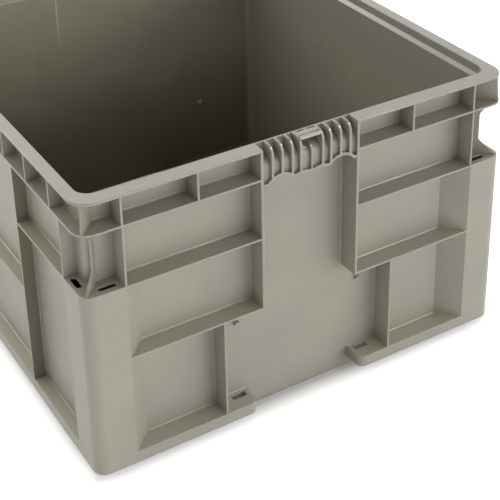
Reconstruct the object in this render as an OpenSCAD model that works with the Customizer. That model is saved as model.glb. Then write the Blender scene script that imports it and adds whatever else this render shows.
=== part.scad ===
// Straight-wall stacking crate, one rigid injection moulding.
// A tub with a flat floor is stiffened outside by a frame of thin ribs:
// a wide rim, a rib band under it, two more horizontal ribs, a ledge with
// a drop skirt at the foot, vertical ribs, and a hollow post at each corner.
// Millimetres, +Z up. Origin: centre of the footprint, on the floor plane.
// X runs along the two handle ends, Y along the two long sides.

/* [Overall] */
// Width across the handle ends
width = 571.5; // [400:0.5:800]
// Length along the long sides
length = 609.6; // [400:0.1:800]
// Height from the stacking foot to the rim
height = 368.3; // [200:0.1:500]
// Wall thickness
wall = 2.6; // [1.8:0.1:5]
// Rib thickness
rib = 2.4; // [1.4:0.1:4]
// Thickness of the label panel edges
edge_rib = 3; // [1.6:0.1:5]
// Rounding of the rim edges
rim_edge = 1.2; // [0.4:0.1:1.8]
// Inside corner radius where ribs meet the walls
fillet = 1.8; // [0.6:0.1:3]

/* [Wall set-in] */
// End wall, from the outer face of the ribs
end_in = 26; // [10:0.2:40]
// Long side wall, from the outer face of the ribs
side_in = 16.2; // [8:0.2:30]
// Label panel on the end walls
label_in = 30.2; // [12:0.2:45]
// Rim width on the end walls
rim_end = 20.8; // [12:0.2:30]
// Rim width on the long sides
rim_side = 15.2; // [10:0.2:25]
// Depth of the straight part of the rim mouth
mouth_depth = 10.9; // [6:0.1:20]
// Height of the sloping stacking seat under the mouth
seat_height = 5.2; // [2:0.1:12]

/* [Horizontal ribs] */
// Height of the rib under the rim band
upper_z = 330.7; // [250:0.1:360]
// Height of the rib over the corner posts
post_rib_z = 254.4; // [180:0.1:300]
// Height of the lower end rib
low_end_z = 159.1; // [80:0.1:220]
// Height of the lower side rib
low_side_z = 162.5; // [80:0.1:220]
// Top of the foot ledge
ledge_top = 28.2; // [20:0.1:60]
// Lower edge of the skirt
skirt_bottom = 13.1; // [4:0.1:25]

/* [Vertical ribs] */
// Label panel edge, upper part, from the centre line
label_half = 63.2; // [40:0.1:110]
// Label panel edge, lower part, from the centre line
label_half_low = 116.2; // [80:0.1:160]
// Rim band rib on the end wall, from the centre line
band_end = 144.3; // [90:0.1:220]
// Corner rib on the end wall, from the centre line
corner_end = 235.5; // [180:0.1:260]
// Long side rib, from the centre line
side_rib = 121.2; // [60:0.1:200]
// Corner rib on the long side, from the centre line
corner_side = 252.9; // [200:0.1:280]
// Pitch of the rim band ribs on the long side
band_pitch = 65.8; // [40:0.1:90]

/* [Corners] */
// Outer corner radius of the rim
rim_radius = 24.5; // [10:0.5:45]
// Corner radius of the rim mouth
mouth_radius = 17.5; // [8:0.5:40]
// Outer corner radius of the upper rib
upper_radius = 20.5; // [10:0.5:40]
// Outer corner radius of the posts, ledge and skirt
post_radius = 15; // [5:0.5:30]
// Outer corner radius of the tub
tub_radius = 10; // [4:0.5:20]
// Width of the flat post face on the end wall
post_end = 49.5; // [30:0.5:80]
// Width of the flat post face on the long side
post_side = 51.9; // [30:0.5:80]

/* [Handle] */
// Lower edge of the handle at its ends
grip_low = 321; // [300:0.5:345]
// Depth of the grip web behind the fin edges
web_in = 4.6; // [3:0.2:14]
// Fin thickness
fin = 2.8; // [1.2:0.1:4]
// Outer radius of the fins
fin_radius = 10.5; // [6:0.5:18]
// Sideways offset of the grip pattern
grip_shift = 1.3; // [-4:0.1:4]

/* [Base] */
// Inside floor level
floor_top = 9; // [5:0.5:20]
// Pockets across the base rib grid
base_pockets = 9; // [5:1:14]

/* [Hidden] */
$fn = 72;
half_width = width / 2;
half_length = length / 2;
overlap = 0.02;
root = 1; // how far ribs run into a wall

seat_top_z = height - mouth_depth;
seat_low_z = seat_top_z - seat_height;
collar_side = rim_side - wall; // outside of the mouth wall, long sides
collar_end = rim_end - wall;   // outside of the mouth wall, ends
label_back = label_in + 2;     // room-side face of the label panels
rim_thick = 2.6;

// Places measured from the outer corner
panel_x = half_width - label_half;
low_panel_x = half_width - label_half_low;
corner_end_x = half_width - corner_end;
foot_end_x = half_width - 74.6; // end of the foot beside the middle gap
side_rib_y = half_length - side_rib;
corner_side_y = half_length - corner_side;

// ---------- helpers ----------

// Rounded rectangle about the origin
module rounded_rect(w, d, r) {
    square([w - 2 * r, d], center = true);
    square([w, d - 2 * r], center = true);
    for (sx = [-1, 1]) for (sy = [-1, 1])
        translate([sx * (w / 2 - r), sy * (d / 2 - r)]) circle(r);
}

// Extrude a (y, z) profile along X
module along_x(x0, x1) {
    translate([x0, 0, 0]) rotate([90, 0, 90]) linear_extrude(x1 - x0) children();
}

// Extrude an (x, z) profile along Y
module along_y(y0, y1) {
    translate([0, y1, 0]) rotate([90, 0, 0]) linear_extrude(y1 - y0) children();
}

// Extrude along X a profile of (distance in from the -Y end, z)
module end_profile(x0, x1) {
    translate([0, -half_length, 0]) along_x(x0, x1) children();
}

// Prism set in from the long sides and from the ends
module inset_prism(side, end, r, z0, z1) {
    translate([0, 0, z0]) linear_extrude(z1 - z0)
        rounded_rect(width - 2 * side, length - 2 * end, r);
}

// Outline of a block set in by in0 at z0 and by in1 at z1
module flare_outline(half, in0, z0, in1, z1) {
    polygon([[-half + in0, z0], [half - in0, z0], [half - in1, z1], [-half + in1, z1]]);
}

// Mitred flare between two levels
module flare(side0, end0, z0, side1, end1, z1) {
    margin = 5;
    intersection() {
        along_y(-half_length - margin, half_length + margin)
            flare_outline(half_width, side0, z0, side1, z1);
        along_x(-half_width - margin, half_width + margin)
            flare_outline(half_length, end0, z0, end1, z1);
    }
}

// Rounded frame: child 0 is the section run along X, child 1 the section
// run along Y, child 2 the section revolved at the corners
module swept_frame(w, d, r) {
    along_x(-w / 2 + r, w / 2 - r) children(0);
    along_y(-d / 2 + r, d / 2 - r) children(1);
    for (sx = [-1, 1]) for (sy = [-1, 1])
        translate([sx * (w / 2 - r), sy * (d / 2 - r), 0]) rotate_extrude() children(2);
}

// Copy to all four corners; children are measured inward from the corner
module each_corner() {
    for (sx = [0, 1]) for (sy = [0, 1])
        mirror([sx, 0, 0]) mirror([0, sy, 0])
            translate([-half_width, -half_length, 0]) children();
}

// Copy to both ends
module both_ends() {
    for (sy = [0, 1]) mirror([0, sy, 0]) children();
}

// Copy to both sides of a 2D centre line
module both_halves() {
    for (s = [0, 1]) mirror([s, 0]) children();
}

// ---------- tub ----------

floor_thick = 3;
base_border = 3.2; // tub edge around the pocket grid
floor_slope = 4;   // height and width of the sloping foot of the walls
panel_flank = 34;  // run of the sloping flanks of the label panels

// Outside of the tub as a filled block
module tub_block() {
    seat_drop = 1; // outside of the seat lies this far below the inside
    seam = 0.01;
    seat_clip_z = 340;
    difference() {
        union() {
            inset_prism(side_in, end_in, tub_radius, 0, seat_low_z - seat_drop);
            intersection() {
                flare(side_in, end_in, seat_low_z - seat_drop - seam,
                      collar_side, collar_end, seat_top_z - seat_drop);
                inset_prism(collar_side, collar_end, mouth_radius, seat_clip_z, height);
            }
            inset_prism(collar_side, collar_end, mouth_radius + 2,
                        seat_top_z - seat_drop - seam, height - 1);
        }
        // label panels, narrow above the lower rib and wide below it
        both_ends() {
            translate([-label_half, -half_length, low_end_z - 1])
                cube([2 * label_half, label_in, seat_low_z - 2 - low_end_z]);
            translate([-label_half_low, -half_length, -1])
                cube([2 * label_half_low, label_in, low_end_z + 0.5]);
        }
        // base rib grid, open downwards
        translate([0, 0, -1]) linear_extrude(floor_top - floor_thick + 1) base_cells();
    }
}

// Plan of the pockets between the base ribs, none in the four corners
module base_cells() {
    grid_x = width - 2 * side_in - 2 * base_border;
    grid_y = length - 2 * label_in - 2 * base_border;
    pitch_x = (grid_x + rib) / base_pockets;
    pitch_y = (grid_y + rib) / base_pockets;
    last = base_pockets - 1;
    for (i = [0 : last]) for (j = [0 : last])
        if (!((i == 0 || i == last) && (j == 0 || j == last)))
            translate([-grid_x / 2 + i * pitch_x, -grid_y / 2 + j * pitch_y])
                square([pitch_x - rib, pitch_y - rib]);
}

// Room inside
module cavity() {
    side = side_in + wall;
    end = end_in + wall;
    slope = floor_slope + overlap;
    radius = tub_radius - 2;
    difference() {
        union() {
            inset_prism(side, end, radius, floor_top + floor_slope, seat_low_z + overlap);
            // sloping foot of the walls
            intersection() {
                flare(side + slope, end + slope, floor_top, side, end, floor_top + slope);
                inset_prism(side, end, radius, floor_top, floor_top + floor_slope + 1);
            }
            // sloping seat
            intersection() {
                flare(side, end, seat_low_z, rim_side, rim_end, seat_top_z + overlap);
                inset_prism(rim_side, rim_end, mouth_radius, seat_low_z - 1, height);
            }
            inset_prism(rim_side, rim_end, mouth_radius, seat_top_z, height + 1);
            mouth_edge();
        }
        both_ends() {
            upper_panel_step();
            lower_panel_step();
        }
    }
}

// Upper label panel, standing into the room
module upper_panel_step() {
    reach = label_half + 40;
    bottom = low_end_z - 3;
    top = seat_top_z - 0.8;
    intersection() {
        translate([0, -half_length, low_end_z - 2])
            linear_extrude(seat_low_z - low_end_z + 1.6) step_plan(label_half - 2);
        end_profile(-reach, reach)
            polygon([[end_in - 1, bottom], [label_back + 1, bottom],
                     [label_back + 1, seat_low_z - 3.7],
                     [rim_end + 1, top], [rim_end - 0.5, top]]);
    }
}

// Lower label panel, sloping back to the end wall above the lower rib
module lower_panel_step() {
    reach = label_half_low + 40;
    slope_top = low_end_z + 40;
    intersection() {
        translate([0, -half_length, 0]) linear_extrude(slope_top + 2) step_plan(label_half_low);
        end_profile(-reach, reach)
            polygon([[end_in - 1, -1], [label_back + 1, -1], [label_back + 1, 0],
                     [label_back, 1], [label_back, low_end_z],
                     [end_in + wall - overlap, slope_top], [end_in - 1, slope_top]]);
    }
}

// Plan of a panel standing into the room, with long sloping flanks
module step_plan(half) {
    outer = half + panel_flank;
    face = end_in + wall - overlap;
    polygon([[-outer, end_in], [-outer, face], [-half, label_back],
             [half, label_back], [outer, face], [outer, end_in]]);
}

// ---------- rim ----------

// Section of a slab of width w with rounded upper edges
module slab_section(w) {
    translate([-w / 2 + rim_edge, 0]) square([w - 2 * rim_edge, rim_thick]);
    translate([-w / 2, 0]) square([w, rim_thick - rim_edge]);
    for (s = [-1, 1])
        translate([s * (w / 2 - rim_edge), rim_thick - rim_edge]) circle(rim_edge);
}

// Half section of the slab at a rim corner, for revolving
module slab_corner_section() {
    square([rim_radius - rim_edge, rim_thick]);
    square([rim_radius, rim_thick - rim_edge]);
    translate([rim_radius - rim_edge, rim_thick - rim_edge]) circle(rim_edge);
}

module rim() {
    difference() {
        translate([0, 0, height - rim_thick]) swept_frame(width, length, rim_radius) {
            slab_section(length);
            slab_section(width);
            slab_corner_section();
        }
        // gap for the handle
        both_ends() translate([-label_half, -half_length - 1, height - 4])
            cube([2 * label_half, collar_end + 1, 6]);
    }
}

// Area outside x = half, under which the rim edge is left rounded
module mouth_lip(half) {
    difference() {
        translate([half - overlap, 0]) square([rim_edge + overlap, rim_edge + 1]);
        translate([half + rim_edge, 0]) circle(rim_edge);
    }
}

// Section of an opening of width w with rounded upper edges
module mouth_section(w) {
    translate([-w / 2, 0]) square([w, rim_edge + 1]);
    both_halves() mouth_lip(w / 2);
}

// Rounded upper edge of the rim mouth
module mouth_edge() {
    w = width - 2 * rim_side;
    d = length - 2 * rim_end;
    translate([0, 0, height - rim_edge]) swept_frame(w, d, mouth_radius) {
        mouth_section(d);
        mouth_section(w);
        union() {
            square([mouth_radius, rim_edge + 1]);
            mouth_lip(mouth_radius);
        }
    }
}

// ---------- corner post, in corner coordinates ----------

diagonal_root = 44; // inner end of the diagonal plates, inside the tub wall

// Slots in the post top: x, y, turn, length
post_slots = [[32.5, 10.9, 0, 21.5], [7.8, 35.5, 90, 21]];
post_slot_width = 7;

module post_plan() {
    end = end_in + 2;
    side = side_in + 2;
    polygon([[post_radius, 0], [post_end, 0], [post_end + end, end], [post_radius, end]]);
    polygon([[0, post_radius], [0, post_side], [side, post_side + side], [side, post_radius]]);
    translate([post_radius, post_radius]) circle(post_radius);
}

module post_hollow_plan() {
    miter = wall * 0.414; // tan(22.5), keeps the 45 degree flank one wall thick
    end = post_end - miter;
    side = post_side - miter;
    polygon([[post_radius, wall], [end, wall],
             [end + end_in - wall, end_in], [post_radius, end_in]]);
    polygon([[wall, post_radius], [wall, side],
             [side_in, side + side_in - wall], [side_in, post_radius]]);
    translate([post_radius, post_radius]) circle(post_radius - wall);
}

// Rounded slot along X
module slot_plan(l, w) {
    square([l - w, w], center = true);
    for (s = [-1, 1]) translate([s * (l - w) / 2, 0]) circle(w / 2);
}

module post_slot_cuts() {
    for (slot = post_slots)
        translate([slot[0], slot[1], post_rib_z - 5]) rotate([0, 0, slot[2]])
            linear_extrude(10) slot_plan(slot[3], post_slot_width);
}

// Rib-thick plate on the corner diagonal, profile in (distance from corner, z)
module diagonal_plate(points) {
    rotate([0, 0, 45]) along_y(-rib / 2, rib / 2) polygon(points);
}

module post() {
    stiffener_out = 7.6;
    stiffener_z = 60;
    difference() {
        translate([0, 0, skirt_bottom])
            linear_extrude(post_rib_z + rib / 2 - skirt_bottom) post_plan();
        translate([0, 0, skirt_bottom - 1])
            linear_extrude(post_rib_z - rib / 2 - skirt_bottom + 1) post_hollow_plan();
        post_slot_cuts();
    }
    // stiffener inside the post
    diagonal_plate([[stiffener_out, stiffener_z], [diagonal_root, stiffener_z],
                    [diagonal_root, post_rib_z], [stiffener_out, post_rib_z]]);
}

// ---------- foot, in corner coordinates ----------

foot_end_radius = 10;
ledge_slot_place = [half_width - 99, 17.5, 20];
ledge_slot_size = [19, 8.5, 12];
foot_ribs_x = [96, 132, 176];
foot_ribs_y = [92 : 40 : 292];

// Foot ledge and its skirt
module foot() {
    rib_z = skirt_bottom + 1.5;
    rib_height = ledge_top - skirt_bottom - 2;
    difference() {
        translate([0, 0, skirt_bottom]) linear_extrude(ledge_top - skirt_bottom) foot_plan(0);
        translate([0, 0, skirt_bottom - 1])
            linear_extrude(ledge_top - rib - skirt_bottom + 1) foot_plan(wall);
        // slot in the ledge beside the gap
        translate(ledge_slot_place) cube(ledge_slot_size);
    }
    // ribs under the ledge
    for (x = foot_ribs_x) translate([x, 1, rib_z]) cube([rib, end_in, rib_height]);
    for (y = foot_ribs_y) translate([1, y, rib_z]) cube([side_in, rib, rib_height]);
}

// Plan of the foot, its outer face set in by inset
module foot_plan(inset) {
    r = foot_end_radius;
    round_x = foot_end_x - r;
    translate([post_radius, inset])
        square([low_panel_x - post_radius, end_in + root - inset]);
    translate([low_panel_x - overlap, inset])
        square([round_x - low_panel_x + overlap, label_in + root - inset]);
    translate([round_x - overlap, r])
        square([r + overlap - inset, label_in + root - r]);
    translate([round_x, r]) circle(r - inset);
    translate([inset, post_radius])
        square([side_in + root - inset, half_length - post_radius + 1]);
    translate([post_radius, post_radius]) circle(post_radius - inset);
}

// ---------- ribs, in corner coordinates ----------

band_set_back = 0.3; // rim band ribs, behind the outer face
low_end_set_back = 0.6;

// L-shaped rib plan around one corner: end arm to x_end, side arm to y_end
module corner_rib_plan(r, x_end, y_end) {
    end = end_in + 1.4;
    side = side_in + 1.4;
    translate([r, 0]) square([x_end - r, end]);
    translate([0, r]) square([side, y_end - r]);
    translate([r, r]) circle(r);
    translate([r - overlap, r - overlap]) square([side, end - r + overlap]);
}

module horizontal_ribs() {
    // under the rim band
    translate([0, 0, upper_z - rib / 2]) linear_extrude(rib)
        corner_rib_plan(upper_radius, panel_x, half_length + 1);
    // over the post
    difference() {
        translate([0, 0, post_rib_z - rib / 2]) linear_extrude(rib)
            corner_rib_plan(post_radius, panel_x, side_rib_y);
        post_slot_cuts();
    }
    // lower ribs
    translate([post_end - 2, low_end_set_back, low_end_z - rib / 2])
        cube([panel_x - post_end + 2, label_in + root, rib]);
    translate([0, side_rib_y, low_side_z - rib / 2])
        cube([side_in + root, side_rib + 1, rib]);
}

module upright_ribs() {
    end = end_in + root;
    side = side_in + root;
    band_height = height - upper_z - 1;
    recess_height = upper_z - post_rib_z;
    // label panel edge, above and below the lower rib
    translate([panel_x - edge_rib, 0, low_end_z - rib / 2])
        cube([edge_rib, label_in + root, height - low_end_z + rib / 2 - 0.01]);
    translate([low_panel_x - rib, 0, ledge_top - 1])
        cube([rib, label_in + root, low_end_z - ledge_top + 1]);
    // rim band ribs
    for (x = [corner_end_x, half_width - band_end])
        translate([x - rib / 2, band_set_back, upper_z]) cube([rib, end, band_height]);
    for (i = [0 : 3])
        translate([band_set_back, half_length - (i + 0.5) * band_pitch - rib / 2, upper_z])
            cube([side, rib, band_height]);
    // long side rib
    translate([0, side_rib_y - rib / 2, ledge_top - 1])
        cube([side, rib, upper_z - ledge_top + 1]);
    // ribs beside the corner recess
    translate([corner_end_x - rib / 2, 0, post_rib_z]) cube([rib, end, recess_height]);
    translate([0, corner_side_y - rib / 2, post_rib_z]) cube([side, rib, recess_height]);
}

// Web in the rim band and fin in the recess under it
module corner_webs() {
    diagonal_plate([[9.2, upper_z], [12, height - 1],
                    [diagonal_root, height - 1], [diagonal_root, upper_z]]);
    // outer edge from the upper rib down to the post rib, then the root
    diagonal_plate([
        [9.2, upper_z], [18.5, upper_z - 5.4], [24.5, upper_z - 12.6],
        [29.2, upper_z - 19], [30, upper_z - 22],
        [30, post_rib_z + 21.5], [28.6, post_rib_z + 18.6], [23.6, post_rib_z + 14],
        [15.4, post_rib_z + 8], [8.4, post_rib_z + 1.4], [8.4, post_rib_z],
        [diagonal_root, post_rib_z], [diagonal_root, upper_z]
    ]);
}

// Section of an inside corner at the origin, open towards +x +y
module fillet_section() {
    difference() {
        translate([-overlap, -overlap]) square([fillet + overlap, fillet + overlap]);
        translate([fillet, fillet]) circle(fillet);
    }
}

// Fillet along X on top of a rib, wall at y, rib top at z
module fillet_x(x0, x1, y, z) {
    translate([0, y, z]) along_x(x0, x1) mirror([1, 0]) fillet_section();
}

// Fillet along Y on top of a rib, wall at x, rib top at z
module fillet_y(y0, y1, x, z) {
    translate([x, 0, z]) along_y(y0, y1) mirror([1, 0]) fillet_section();
}

// Upright fillet in the corner at (x, y), opening towards -y if sy < 0, and so for sx
module fillet_z(x, y, sx, sy, z0, z1) {
    translate([x, y, z0]) linear_extrude(z1 - z0)
        mirror([sx < 0 ? 1 : 0, 0]) mirror([0, sy < 0 ? 1 : 0]) fillet_section();
}

module wall_fillets() {
    edge_x = panel_x - edge_rib;
    low_edge_x = low_panel_x - rib;
    post_x = post_end + end_in - 1;
    foot_z = ledge_top - 0.5;
    // end wall
    fillet_x(side_in + tub_radius, edge_x + 1, end_in, upper_z + rib / 2);
    fillet_x(corner_end_x, edge_x + 1, end_in, post_rib_z + rib / 2);
    fillet_x(post_x, edge_x + 1, end_in, low_end_z + rib / 2);
    fillet_x(post_x, low_edge_x + 1, end_in, ledge_top);
    fillet_x(low_edge_x + 1, foot_end_x - 0.5, label_in, ledge_top);
    fillet_z(edge_x, end_in, -1, -1, low_end_z, seat_low_z - 2);
    fillet_z(panel_x, label_in, 1, -1, low_end_z, upper_z - 12);
    fillet_z(low_edge_x, end_in, -1, -1, foot_z, low_end_z);
    fillet_z(low_panel_x, label_in, 1, -1, foot_z, low_end_z);
    // long side
    fillet_y(end_in + tub_radius, half_length + 1, side_in, upper_z + rib / 2);
    fillet_y(corner_side_y, side_rib_y, side_in, post_rib_z + rib / 2);
    fillet_y(side_rib_y, half_length + 1, side_in, low_side_z + rib / 2);
    fillet_y(post_side + side_in - 1, half_length + 1, side_in, ledge_top);
    for (s = [-1, 1])
        fillet_z(side_in, side_rib_y + s * rib / 2, -1, s, foot_z, upper_z);
}

// ---------- handle, in front of the label panel ----------

handle_half = label_half + edge_rib / 2;
handle_base = 300;         // blanks start here, then are cut by the grip edge
hollow_top = height - 14;  // top of the hollow in front of the web
lip_height = 3.2;
fin_places = [14.8, 25.8, 39.2, 52.1]; // either side of the pattern centre
centre_fin = 1.8;          // thickness
centre_fin_in = 0.6;
centre_fin_radius = 7.5;
centre_fin_top = height - 13.2;
bridge_half = fin_places[0];
bridge_slots = [[-9.8, 8.6], [3.4, 9.8]]; // start from the pattern centre, length
bridge_slot_width = 3.4;

// Everything under the scalloped grip edge, raised by grow
module below_grip(grow) {
    bottom = 250;
    translate([-80, bottom]) square([160, grip_low - bottom + grow]);
    translate([grip_shift, 0]) {
        translate([-27, bottom]) square([54, grip_low + 0.9 - bottom + grow]);
        for (s = [-1, 1]) {
            translate([s * 40.7, grip_low - 11.7]) circle(19.9 + grow);
            translate([s * 12.2, grip_low - 21.5]) circle(24 + grow);
        }
    }
}

// Side outline of the fins
module fin_section() {
    r = fin_radius;
    translate([r, height - r]) circle(r);
    translate([0, handle_base]) square([rim_end - 1, height - r - handle_base]);
    translate([r, handle_base]) square([rim_end - 1 - r, height - handle_base]);
}

// Side outline of the low fin in the middle
module centre_fin_section() {
    r = centre_fin_radius;
    translate([centre_fin_in + r, centre_fin_top - r]) circle(r);
    translate([centre_fin_in, handle_base])
        square([web_in + 1, centre_fin_top - r - handle_base]);
    translate([centre_fin_in + r, handle_base])
        square([rim_end - 2 - r, centre_fin_top - handle_base]);
}

// Side outline of the space in front of the web
module web_front_section() {
    r = collar_end - web_in;
    translate([-40, 200]) square([40 + web_in, height + 20 - 200]);
    translate([-40, hollow_top]) square([40 + collar_end, 60]);
    difference() {
        translate([web_in - overlap, hollow_top - r]) square([r + overlap, r + overlap]);
        translate([collar_end, hollow_top - r]) circle(r);
    }
}

// Finger room behind the web
module web_back_section() {
    back = web_in + wall;
    top = hollow_top - wall;
    r = collar_end - back;
    translate([back, 200]) square([60, top - r - 200]);
    translate([back + r, top - r]) circle(r);
    translate([back + r, 200]) square([60, top - 200]);
}

module grip_web() {
    difference() {
        end_profile(-handle_half, handle_half)
            translate([0, handle_base]) square([rim_end - 0.6, height - handle_base]);
        end_profile(-handle_half - 1, handle_half + 1) web_front_section();
    }
}

module fins() {
    for (s = [-1, 1]) for (place = fin_places) {
        x = grip_shift + s * place;
        end_profile(x - fin / 2, x + fin / 2) fin_section();
    }
    end_profile(grip_shift - centre_fin / 2, grip_shift + centre_fin / 2)
        centre_fin_section();
}

// Scalloped lip along the lower edge
module grip_lip() {
    along_y(-half_length, -half_length + web_in + 1) intersection() {
        below_grip(lip_height);
        translate([-handle_half, handle_base]) square([2 * handle_half, 50]);
    }
}

// Bridge plate and bar, outline in (distance in, z)
module bridge() {
    end_profile(grip_shift - bridge_half, grip_shift + bridge_half)
        translate([0, height]) polygon([
            [1.2, -3.1], [4.4, -3.1], [6, -3.6], [rim_end - 1, -3.6],
            [rim_end - 1, -0.4], [9.2, -0.4], [8.5, -2], [6.7, -2],
            [6, -0.5], [1.9, -0.5], [1.2, -1.2]
        ]);
}

module handle() {
    difference() {
        union() {
            difference() {
                union() {
                    grip_web();
                    fins();
                }
                end_profile(-handle_half - 1, handle_half + 1) web_back_section();
            }
            grip_lip();
            bridge();
        }
        // under the scallops
        along_y(-half_length - 21, -half_length + label_in - 1) below_grip(0);
        // slots in the bridge plate
        for (slot = bridge_slots)
            translate([grip_shift + slot[0], -half_length + rim_end - 4.9, height - 6])
                cube([slot[1], bridge_slot_width, 8]);
    }
}

// ---------- nubs on the end walls ----------

// Small gusset nubs under the lower end rib
module panel_nubs() {
    nub_x = 89;
    nub_width = 5;
    nub_top = 133;
    nub_out = label_in - 6.4;
    for (s = [0, 1]) mirror([s, 0, 0])
        end_profile(-nub_x, -nub_x + nub_width)
            polygon([[label_in + root, nub_top - 8], [label_in + root, nub_top],
                     [nub_out, nub_top], [nub_out, nub_top - 1.4]]);
}

// ---------- the crate ----------

module crate_body() {
    color([0.58, 0.57, 0.52])
    difference() {
        union() {
            tub_block();
            rim();
            each_corner() {
                horizontal_ribs();
                upright_ribs();
                corner_webs();
                wall_fillets();
                post();
                foot();
            }
            both_ends() {
                handle();
                panel_nubs();
            }
        }
        cavity();
    }
}

crate_body();
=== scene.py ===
# A moulded plastic crate on a glowing white studio floor.
# Metres, +Z up. The crate is centred on the Z axis, its floor is near z = 0 and
# its long sides are the walls at -X and +X. The camera looks down from -X, -Y.
import math
from collections import defaultdict
from functools import reduce

import bmesh
import bpy
from mathutils import Matrix, Vector


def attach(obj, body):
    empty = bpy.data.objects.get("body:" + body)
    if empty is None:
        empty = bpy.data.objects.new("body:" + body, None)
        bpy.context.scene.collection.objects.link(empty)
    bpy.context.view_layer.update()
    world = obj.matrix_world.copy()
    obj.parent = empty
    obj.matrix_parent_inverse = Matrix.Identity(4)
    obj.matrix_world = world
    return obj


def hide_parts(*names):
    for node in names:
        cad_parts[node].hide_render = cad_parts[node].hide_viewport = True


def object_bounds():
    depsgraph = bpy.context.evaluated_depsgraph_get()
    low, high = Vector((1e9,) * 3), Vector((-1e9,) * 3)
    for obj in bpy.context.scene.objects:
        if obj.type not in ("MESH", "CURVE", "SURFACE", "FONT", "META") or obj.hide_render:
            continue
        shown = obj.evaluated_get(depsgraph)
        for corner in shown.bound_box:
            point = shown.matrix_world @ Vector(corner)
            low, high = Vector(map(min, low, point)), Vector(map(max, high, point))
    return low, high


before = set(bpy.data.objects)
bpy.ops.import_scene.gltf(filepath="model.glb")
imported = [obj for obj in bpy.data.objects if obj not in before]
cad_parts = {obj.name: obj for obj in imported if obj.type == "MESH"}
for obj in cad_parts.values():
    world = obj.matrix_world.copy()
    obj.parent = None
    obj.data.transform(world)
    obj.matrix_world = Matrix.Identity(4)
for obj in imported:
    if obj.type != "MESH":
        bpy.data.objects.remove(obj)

cad_lo, cad_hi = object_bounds()
scene = bpy.context.scene
MM = 0.001

# Limits of the crate's inside, used to place its tone changes, painted shade and painted
# highlights
INNER_X = 0.2676                        # half width
INNER_Y = 0.2768                        # half length
INNER_BOTTOM, INNER_TOP = 0.0085, 0.3515
LEDGE_TOP = 0.345                       # outer ledges lie below this height
RIB_END_Y = 0.24                        # ribs with painted shade lie within this of the middle
RIB_TOP = 0.328
END_WALL_Y = 0.26                       # the +Y end wall lies beyond this
LEVEL_PER_METRE = 2.8                   # height to the 0..1 level of the inside and ledge tone ramps

# Crate mesh
WELD_DISTANCE = 0.02 * MM
FLAT_ANGLE = math.radians(0.4)          # a flat face bends less than this
TANGENT_ANGLE = math.radians(13)        # a curved face runs on into a flat one
SLIVER_AREA = 1e-9                      # triangles below this can't spoil flatness

# Stage
FLOOR_HALF_SIZE = 14.0
FLOOR_GAP = 0.0002
SHADE_X, SHADE_Y = 0.27, 0.28           # half sizes of the unlit patch under the crate


# ---------- shader graphs ----------

def rgba(value):
    """Grey level or RGB triple as an opaque colour; a socket stays as it is."""
    if isinstance(value, tuple):
        return (*value, 1)
    return (value, value, value, 1) if isinstance(value, float) else value


class Graph:
    """An emptied node tree; any input takes either a value or an output socket."""

    def __init__(self, tree):
        self.tree = tree
        tree.nodes.clear()

    def node(self, kind, inputs=None, **settings):
        node = self.tree.nodes.new(kind)
        for name, value in settings.items():
            setattr(node, name, value)
        for key, value in (inputs or {}).items():
            if isinstance(value, bpy.types.NodeSocket):
                self.tree.links.new(value, node.inputs[key])
            else:
                node.inputs[key].default_value = value
        return node

    def math(self, operation, first, second=0.0, clamp=False):
        return self.node("ShaderNodeMath", {0: first, 1: second},
                         operation=operation, use_clamp=clamp).outputs[0]

    def product(self, *factors):
        return reduce(lambda a, b: self.math("MULTIPLY", a, b), factors)

    def within(self, value, limit):
        return self.math("LESS_THAN", self.math("ABSOLUTE", value), limit)

    def beyond(self, value, limit):
        return self.math("GREATER_THAN", self.math("ABSOLUTE", value), limit)

    def xyz(self, vector):
        return self.node("ShaderNodeSeparateXYZ", {0: vector}).outputs[:]

    def ramp(self, factor, stops):
        """Colour ramp; stops are (position, grey level or RGB)."""
        node = self.node("ShaderNodeValToRGB", {"Fac": factor})
        elements = node.color_ramp.elements
        while len(elements) < len(stops):
            elements.new(0.5)
        for element, (position, value) in zip(elements, stops):
            element.position = position
            element.color = rgba(value)
        return node.outputs["Color"]

    def mix(self, amount, base, other, mode="MIX"):
        return self.node("ShaderNodeMix", {0: amount, 6: rgba(base), 7: rgba(other)},
                         data_type="RGBA", blend_type=mode).outputs[2]

    def tint(self, amount, base, other):
        return self.mix(amount, base, other, mode="MULTIPLY")

    def noise(self, place, scale, detail, roughness, distortion=0.0):
        return self.node("ShaderNodeTexNoise", {
            "Vector": place, "Scale": scale, "Detail": detail,
            "Roughness": roughness, "Distortion": distortion}).outputs["Fac"]

    def bump(self, height, normal, strength, distance):
        return self.node("ShaderNodeBump", {
            "Height": height, "Normal": normal,
            "Strength": strength, "Distance": distance}).outputs["Normal"]


def new_material(name):
    material = bpy.data.materials.new(name)
    material.use_nodes = True
    return material, Graph(material.node_tree)


def surface_output(graph, inputs):
    shader = graph.node("ShaderNodeBsdfPrincipled", inputs)
    graph.node("ShaderNodeOutputMaterial", {"Surface": shader.outputs["BSDF"]})


# ---------- crate plastic, layer by layer ----------

def compound_colour(graph, place):
    """Base colour with slow, flow-stretched clouds and a fine pigment speckle."""
    stretched = graph.node("ShaderNodeMapping", {"Vector": place, "Scale": (1.0, 1.0, 1.8)})
    clouds = graph.noise(stretched.outputs["Vector"],
                         scale=5.5, detail=4.0, roughness=0.55, distortion=0.6)
    tone = graph.ramp(clouds, [(0.30, (0.93, 0.935, 0.955)), (0.72, (1.05, 1.045, 1.03))])
    colour = graph.tint(1.0, (0.305, 0.295, 0.245), tone)
    speck = graph.noise(place, scale=420.0, detail=2.0, roughness=0.6)
    return graph.tint(1.0, colour, graph.ramp(speck, [(0.36, 0.97), (0.62, 1.02)]))


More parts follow.
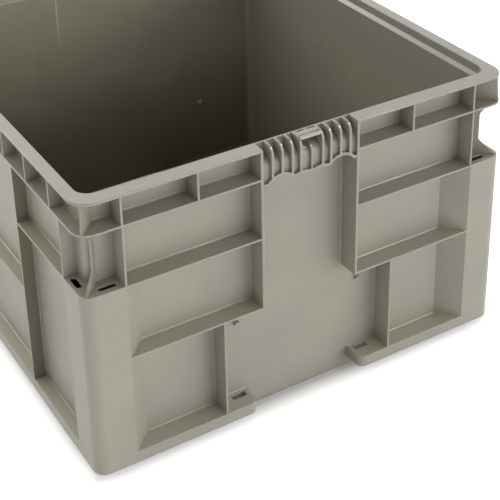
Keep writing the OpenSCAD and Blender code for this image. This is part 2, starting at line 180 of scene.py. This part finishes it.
def pale_edges_painted_highlight(graph, colour, place, rounded_normal, normal):
    """Painted highlight: patchy, paler edges, found where the rounded normal leaves the real
    one.
    """
    alignment = graph.node("ShaderNodeVectorMath", {0: rounded_normal, 1: normal},
                           operation="DOT_PRODUCT").outputs["Value"]
    edge = graph.math("SUBTRACT", 1.0, alignment, clamp=True)
    edge = graph.math("MULTIPLY", edge, 5.0, clamp=True)
    patches = graph.noise(place, scale=38.0, detail=4.0, roughness=0.65)
    patches = graph.ramp(patches, [(0.30, 0.45), (0.65, 1.0)])
    strength = 0.62
    return graph.mix(graph.product(edge, patches, strength), colour, (0.50, 0.49, 0.42))


def corner_painted_shade(graph, colour):
    """Painted shade: colour darkened in the inside corners, where ambient occlusion finds
    them.
    """
    occlusion = graph.node("ShaderNodeAmbientOcclusion", {"Distance": 20 * MM}, samples=6)
    painted_shade = graph.ramp(occlusion.outputs["AO"], [
        (0.12, (0.64, 0.61, 0.555)), (0.42, (0.91, 0.90, 0.885)), (0.78, (1.0, 1.0, 1.0))])
    return graph.tint(1.0, colour, painted_shade)


def inside_mask(graph, position, facing):
    """Inner surfaces: they face the Z axis; weaker on the walls that face along X."""
    x, y, z = position
    outward = graph.math("ADD", graph.product(x, facing[0]), graph.product(y, facing[1]))
    side_fade = 0.7
    sides = graph.product(graph.math("ABSOLUTE", facing[0]), side_fade)
    return graph.product(
        graph.math("LESS_THAN", outward, 0.0005),
        graph.within(x, INNER_X),
        graph.within(y, INNER_Y),
        graph.math("GREATER_THAN", z, INNER_BOTTOM),
        graph.math("LESS_THAN", z, INNER_TOP),
        graph.math("SUBTRACT", 1.0, sides))


def inside_darkening(graph, colour, inside, level):
    """Inner surfaces made darker and browner, varying with height, darkest towards the floor.
    """
    inside_tone = graph.ramp(level, [
        (0.0, (0.70, 0.65, 0.56)), (0.30, (0.82, 0.77, 0.68)),
        (0.58, (1.0, 0.96, 0.885)), (0.86, (0.83, 0.80, 0.74))])
    return graph.mix(inside, colour, graph.tint(1.0, colour, inside_tone))


def ledge_top_paling(graph, colour, inside, level, z, facing_z):
    """Paler colour on the upward faces of the outer ledges, more on the low ones."""
    amount = graph.product(
        graph.math("GREATER_THAN", facing_z, 0.8),
        graph.math("LESS_THAN", z, LEDGE_TOP),
        graph.math("SUBTRACT", 1.0, inside, clamp=True),
        graph.ramp(level, [(0.08, 0.95), (0.445, 0.56), (0.71, 0.20), (0.93, 0.10)]))
    return graph.tint(amount, colour, (1.75, 1.69, 1.60))


def rib_face_painted_shade(graph, colour, position, facing_y):
    """Painted shade: darker, browner Y-facing faces on the ribs of the long sides."""
    x, y, z = position
    cross = graph.product(
        graph.beyond(facing_y, 0.8),
        graph.beyond(x, INNER_X),
        graph.within(y, RIB_END_Y),
        graph.math("LESS_THAN", z, RIB_TOP))
    return graph.tint(cross, colour, (0.60, 0.565, 0.51))


def end_wall_highlights_and_stain(graph, colour, inside, position):
    """Two pale upright lines of painted highlight and a round stain inside the +Y end wall."""
    x, y, z = position
    end_wall = graph.math("GREATER_THAN", y, END_WALL_Y)

    line_half_width = 0.0014
    fade_in_per_metre = 25.0
    # x, height of the lower end, strength
    # each pale upright line is a painted highlight
    for line_x, bottom, strength in ((-0.0583, 0.262, 0.50), (0.0604, 0.288, 0.16)):
        offset = graph.math("ABSOLUTE", graph.math("SUBTRACT", x, line_x))
        offset = graph.product(offset, 1 / line_half_width)
        line = graph.math("SUBTRACT", 1.0, offset, clamp=True)
        rise = graph.math("SUBTRACT", z, bottom)
        rise = graph.math("MULTIPLY", rise, fade_in_per_metre, clamp=True)
        amount = graph.product(line, rise, end_wall, inside, strength)
        colour = graph.mix(amount, colour, (0.72, 0.69, 0.56))

    stain_x, stain_z, stain_radius = 0.173, 0.112, 0.0052
    stain_edge_per_metre, stain_strength = 400.0, 0.75
    across = graph.math("SUBTRACT", x, stain_x)
    above = graph.math("SUBTRACT", z, stain_z)
    distance = graph.math("SQRT", graph.math(
        "ADD", graph.product(across, across), graph.product(above, above)))
    stain = graph.math("SUBTRACT", stain_radius, distance)
    stain = graph.math("MULTIPLY", stain, stain_edge_per_metre, clamp=True)
    amount = graph.product(stain, end_wall, inside, stain_strength)
    return graph.mix(amount, colour, (0.80, 0.62, 0.36))


def scuff_mask(graph, place):
    """Long, thin scuffs, in some areas only."""
    drawn_out = graph.node("ShaderNodeMapping", {
        "Vector": place, "Scale": (1.0, 1.0, 0.12), "Rotation": (0.35, 0.2, 0.5)})
    scuffs = graph.noise(drawn_out.outputs["Vector"], scale=130.0, detail=6.0, roughness=0.62)
    areas = graph.noise(place, scale=7.0, detail=2.0, roughness=0.5)
    return graph.product(graph.ramp(scuffs, [(0.66, 0.0), (0.74, 1.0)]),
                         graph.ramp(areas, [(0.48, 0.0), (0.66, 1.0)]))


def dark_specks(graph, colour, place):
    """A few dark specks of dirt."""
    cells = graph.node("ShaderNodeTexVoronoi", {"Vector": place, "Scale": 13.0})
    specks = graph.ramp(cells.outputs["Distance"], [(0.010, 1.0), (0.022, 0.0)])
    strength = 0.6
    return graph.mix(graph.product(specks, strength), colour, (0.10, 0.085, 0.06))


def surface_relief(graph, place, rounded_normal):
    """Spark-eroded mould grain with a slow waviness over it."""
    grain = graph.noise(place, scale=1500.0, detail=2.0, roughness=0.6)
    wave = graph.noise(place, scale=9.0, detail=1.0, roughness=0.4)
    normal = graph.bump(grain, rounded_normal, strength=0.08, distance=0.25 * MM)
    return graph.bump(wave, normal, strength=0.35, distance=2.0 * MM)


def moulded_plastic():
    material, graph = new_material("crate_plastic")
    place = graph.node("ShaderNodeTexCoord").outputs["Object"]
    geometry = graph.node("ShaderNodeNewGeometry").outputs
    bevel = graph.node("ShaderNodeBevel", {"Radius": 1.3 * MM}, samples=4)
    rounded_normal = bevel.outputs["Normal"]
    position = graph.xyz(place)
    facing = graph.xyz(geometry["True Normal"])
    z = position[2]
    level = graph.math("MULTIPLY", z, LEVEL_PER_METRE, clamp=True)
    inside = inside_mask(graph, position, facing)
    scuffs = scuff_mask(graph, place)
    scuff_paleness, scuff_roughness = 0.20, 0.10

    colour = compound_colour(graph, place)
    # paler edges: a painted highlight along the rounded edges
    colour = pale_edges_painted_highlight(graph, colour, place, rounded_normal, geometry["Normal"])
    # inside corners: painted shade from ambient occlusion
    colour = corner_painted_shade(graph, colour)
    colour = inside_darkening(graph, colour, inside, level)
    colour = ledge_top_paling(graph, colour, inside, level, z, facing[2])
    # Y-facing rib faces of the long sides: painted shade
    colour = rib_face_painted_shade(graph, colour, position, facing[1])
    colour = end_wall_highlights_and_stain(graph, colour, inside, position)
    colour = graph.mix(graph.product(scuffs, scuff_paleness), colour, (0.47, 0.46, 0.42))
    colour = dark_specks(graph, colour, place)

    roughness = graph.noise(place, scale=26.0, detail=5.0, roughness=0.6)
    roughness = graph.ramp(roughness, [(0.25, 0.34), (0.75, 0.44)])
    roughness = graph.math("ADD", roughness, graph.product(scuffs, scuff_roughness))

    surface_output(graph, {
        "Base Color": colour,
        "Roughness": roughness,
        "IOR": 1.5,
        "Specular IOR Level": 0.5,
        "Coat Weight": 0.12,
        "Coat Roughness": 0.16,
        "Sheen Weight": 0.04,
        "Sheen Roughness": 0.5,
        "Normal": surface_relief(graph, place, rounded_normal)})
    return material


# ---------- the crate, shaded face by face as designed ----------

def face_islands(mesh):
    """Design face of every polygon; the CAD mesh keeps its faces apart."""
    parent = list(range(len(mesh.vertices)))

    def root(vertex):
        while parent[vertex] != vertex:
            parent[vertex] = parent[parent[vertex]]
            vertex = parent[vertex]
        return vertex

    for polygon in mesh.polygons:
        first = polygon.vertices[0]
        for other in polygon.vertices[1:]:
            parent[root(other)] = root(first)
    return [root(polygon.vertices[0]) for polygon in mesh.polygons]


def curved_normal(vert, face, layer, flat_normals):
    """Smooth normal of a curved face, or that of the flat face it runs into."""
    own = Vector()
    for linked in vert.link_faces:
        if linked[layer] == face[layer]:
            own += linked.normal * linked.calc_area()
    own = own.normalized() if own.length > 0 else face.normal.copy()
    best, best_match = own, math.cos(TANGENT_ANGLE)
    for linked in vert.link_faces:
        normal = flat_normals.get(linked[layer])
        if normal is not None and normal.dot(own) > best_match:
            best, best_match = normal, normal.dot(own)
    return best


def designed_normals(bm, layer):
    """Normal of every face corner; flat design faces keep their own."""
    totals = defaultdict(Vector)
    for face in bm.faces:
        totals[face[layer]] += face.normal * face.calc_area()
    flat_normals = {key: total.normalized() for key, total in totals.items()}
    bent = {face[layer] for face in bm.faces
            if face.calc_area() >= SLIVER_AREA
            and face.normal.dot(flat_normals[face[layer]]) <= math.cos(FLAT_ANGLE)}
    for key in bent:
        del flat_normals[key]
    return [flat_normals[face[layer]] if face[layer] in flat_normals
            else curved_normal(loop.vert, face, layer, flat_normals)
            for face in bm.faces for loop in face.loops]


def crate_shell():
    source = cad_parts["crate_body"].data
    bm = bmesh.new()
    bm.from_mesh(source)
    layer = bm.faces.layers.int.new("design_face")
    for face, island in zip(bm.faces, face_islands(source)):
        face[layer] = island
    bmesh.ops.remove_doubles(bm, verts=bm.verts, dist=WELD_DISTANCE)
    bm.normal_update()
    normals = designed_normals(bm, layer)

    mesh = bpy.data.meshes.new("crate_shell")
    bm.to_mesh(mesh)
    bm.free()
    for polygon in mesh.polygons:
        polygon.use_smooth = True
    mesh.normals_split_custom_set([tuple(normal) for normal in normals])
    mesh.attributes.remove(mesh.attributes["design_face"])
    mesh.materials.clear()  # also resets the material index of every face
    mesh.materials.append(moulded_plastic())

    shell = bpy.data.objects.new("crate_shell", mesh)
    scene.collection.objects.link(shell)
    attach(shell, "root")
    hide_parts("crate_body")


# ---------- floor ----------

def floor_material():
    """Light table: glows, more so to the camera, but not under the crate."""
    material, graph = new_material("studio_floor")
    glow, camera_glow = 0.28, 0.40
    edge_per_metre = 40.0
    path = graph.node("ShaderNodeLightPath")
    lift = graph.product(path.outputs["Is Camera Ray"], camera_glow)
    lift = graph.math("ADD", lift, glow)
    x, y, _ = graph.xyz(graph.node("ShaderNodeTexCoord").outputs["Object"])
    past_x = graph.math("SUBTRACT", graph.math("ABSOLUTE", x), SHADE_X)
    past_y = graph.math("SUBTRACT", graph.math("ABSOLUTE", y), SHADE_Y)
    outside = graph.math("MULTIPLY", graph.math("MAXIMUM", past_x, past_y),
                         edge_per_metre, clamp=True)
    surface_output(graph, {
        "Base Color": (0.90, 0.90, 0.905, 1),
        "Roughness": 0.7,
        "Emission Color": (1, 1, 1, 1),
        "Emission Strength": graph.product(lift, outside)})
    return material


def floor_sheet():
    mesh = bpy.data.meshes.new("studio_floor")
    s = FLOOR_HALF_SIZE
    mesh.from_pydata([(-s, -s, 0), (s, -s, 0), (s, s, 0), (-s, s, 0)], [], [(0, 1, 2, 3)])
    mesh.materials.append(floor_material())
    sheet = bpy.data.objects.new("studio_floor", mesh)
    sheet.location = (0, 0, cad_lo.z - FLOOR_GAP)
    scene.collection.objects.link(sheet)


# ---------- lights ----------

# Soft panels painted on the sky. Degrees: azimuth (0 = +X, 90 = +Y), elevation,
# half width, half height; then strength and tint
SKY_PANELS = [
    (304, 10, 92, 26, 4.78, (1.0, 0.995, 0.985)),
    (89, 33, 129, 44, 2.65, (1.0, 0.985, 0.93)),
    (192, 34, 55, 26, 1.2, (1.0, 0.985, 0.95)),
]
AMBIENT = (0.03, 0.03, 0.03)


def soft_falloff(graph, offset, half_degrees):
    """1 at no offset, easing to 0 at the half width."""
    distance = graph.math("DIVIDE", graph.math("ABSOLUTE", offset), math.radians(half_degrees))
    return graph.node("ShaderNodeMapRange", {"Value": distance, "To Min": 1.0, "To Max": 0.0},
                      interpolation_type="SMOOTHSTEP").outputs["Result"]


def studio_world():
    world = bpy.data.worlds.new("studio")
    scene.world = world
    world.use_nodes = True
    graph = Graph(world.node_tree)
    x, y, z = graph.xyz(graph.node("ShaderNodeTexCoord").outputs["Generated"])
    sky_elevation = graph.math("ARCSINE", z)
    sky_azimuth = graph.math("ARCTAN2", y, x)

    glows = []
    for azimuth, elevation, half_width, half_height, strength, tint in SKY_PANELS:
        aside = graph.math("SUBTRACT", sky_azimuth, math.radians(azimuth))
        aside = graph.node("ShaderNodeMath", {0: aside, 1: math.pi, 2: -math.pi},
                           operation="WRAP").outputs[0]
        above = graph.math("SUBTRACT", sky_elevation, math.radians(elevation))
        level = graph.product(soft_falloff(graph, aside, half_width),
                              soft_falloff(graph, above, half_height), strength)
        glows.append(graph.node("ShaderNodeVectorMath", {0: tint, "Scale": level},
                                operation="SCALE").outputs["Vector"])
    total = glows[0]
    for glow in (*glows[1:], AMBIENT):
        total = graph.node("ShaderNodeVectorMath", {0: total, 1: glow},
                           operation="ADD").outputs["Vector"]

    # the camera itself sees a plain white backdrop where the floor ends
    sky = graph.node("ShaderNodeBackground", {"Color": total})
    backdrop = graph.node("ShaderNodeBackground", {"Color": (1.0, 1.0, 1.0, 1)})
    path = graph.node("ShaderNodeLightPath")
    either = graph.node("ShaderNodeMixShader", {
        0: path.outputs["Is Camera Ray"],
        1: sky.outputs["Background"],
        2: backdrop.outputs["Background"]})
    graph.node("ShaderNodeOutputWorld", {"Surface": either.outputs["Shader"]})


def glint_light(name, azimuth, elevation, size, power):
    """Disk light for glints on the crate only; it adds no diffuse light."""
    aim, distance = Vector((0, 0, 0.2)), 3.0
    data = bpy.data.lights.new(name, "AREA")
    data.shape = "DISK"
    data.size = size
    data.energy = power
    light = bpy.data.objects.new(name, data)
    a, e = math.radians(azimuth), math.radians(elevation)
    direction = Vector((math.cos(a) * math.cos(e), math.sin(a) * math.cos(e), math.sin(e)))
    light.location = aim + direction * distance
    light.rotation_mode = "QUATERNION"
    light.rotation_quaternion = (aim - light.location).to_track_quat("-Z", "Y")
    light.visible_diffuse = False
    scene.collection.objects.link(light)


# ---------- camera ----------

def add_camera():
    data = bpy.data.cameras.new("camera")
    data.sensor_width = 36.0
    data.lens = 92.98
    data.shift_x, data.shift_y = -0.0182, -0.3567
    data.clip_start, data.clip_end = 0.05, 60
    camera = bpy.data.objects.new("camera", data)
    scene.collection.objects.link(camera)
    position = Vector((-0.70020, -1.35116, 1.05750))
    right = Vector((0.85178, -0.52371, -0.01419))
    up = Vector((0.23939, 0.36498, 0.89971))
    back = Vector((-0.46601, -0.76975, 0.43625))
    turn = Matrix((right, up, back)).transposed().to_4x4()
    camera.matrix_world = Matrix.Translation(position) @ turn
    scene.camera = camera


crate_shell()
floor_sheet()
studio_world()
glint_light("glint", azimuth=317, elevation=50, size=0.6, power=70)
glint_light("back_glint", azimuth=107, elevation=17, size=0.9, power=60)
add_camera()

scene.view_settings.view_transform = "Standard"
scene.view_settings.look = "None"
scene.cycles.use_denoising = True
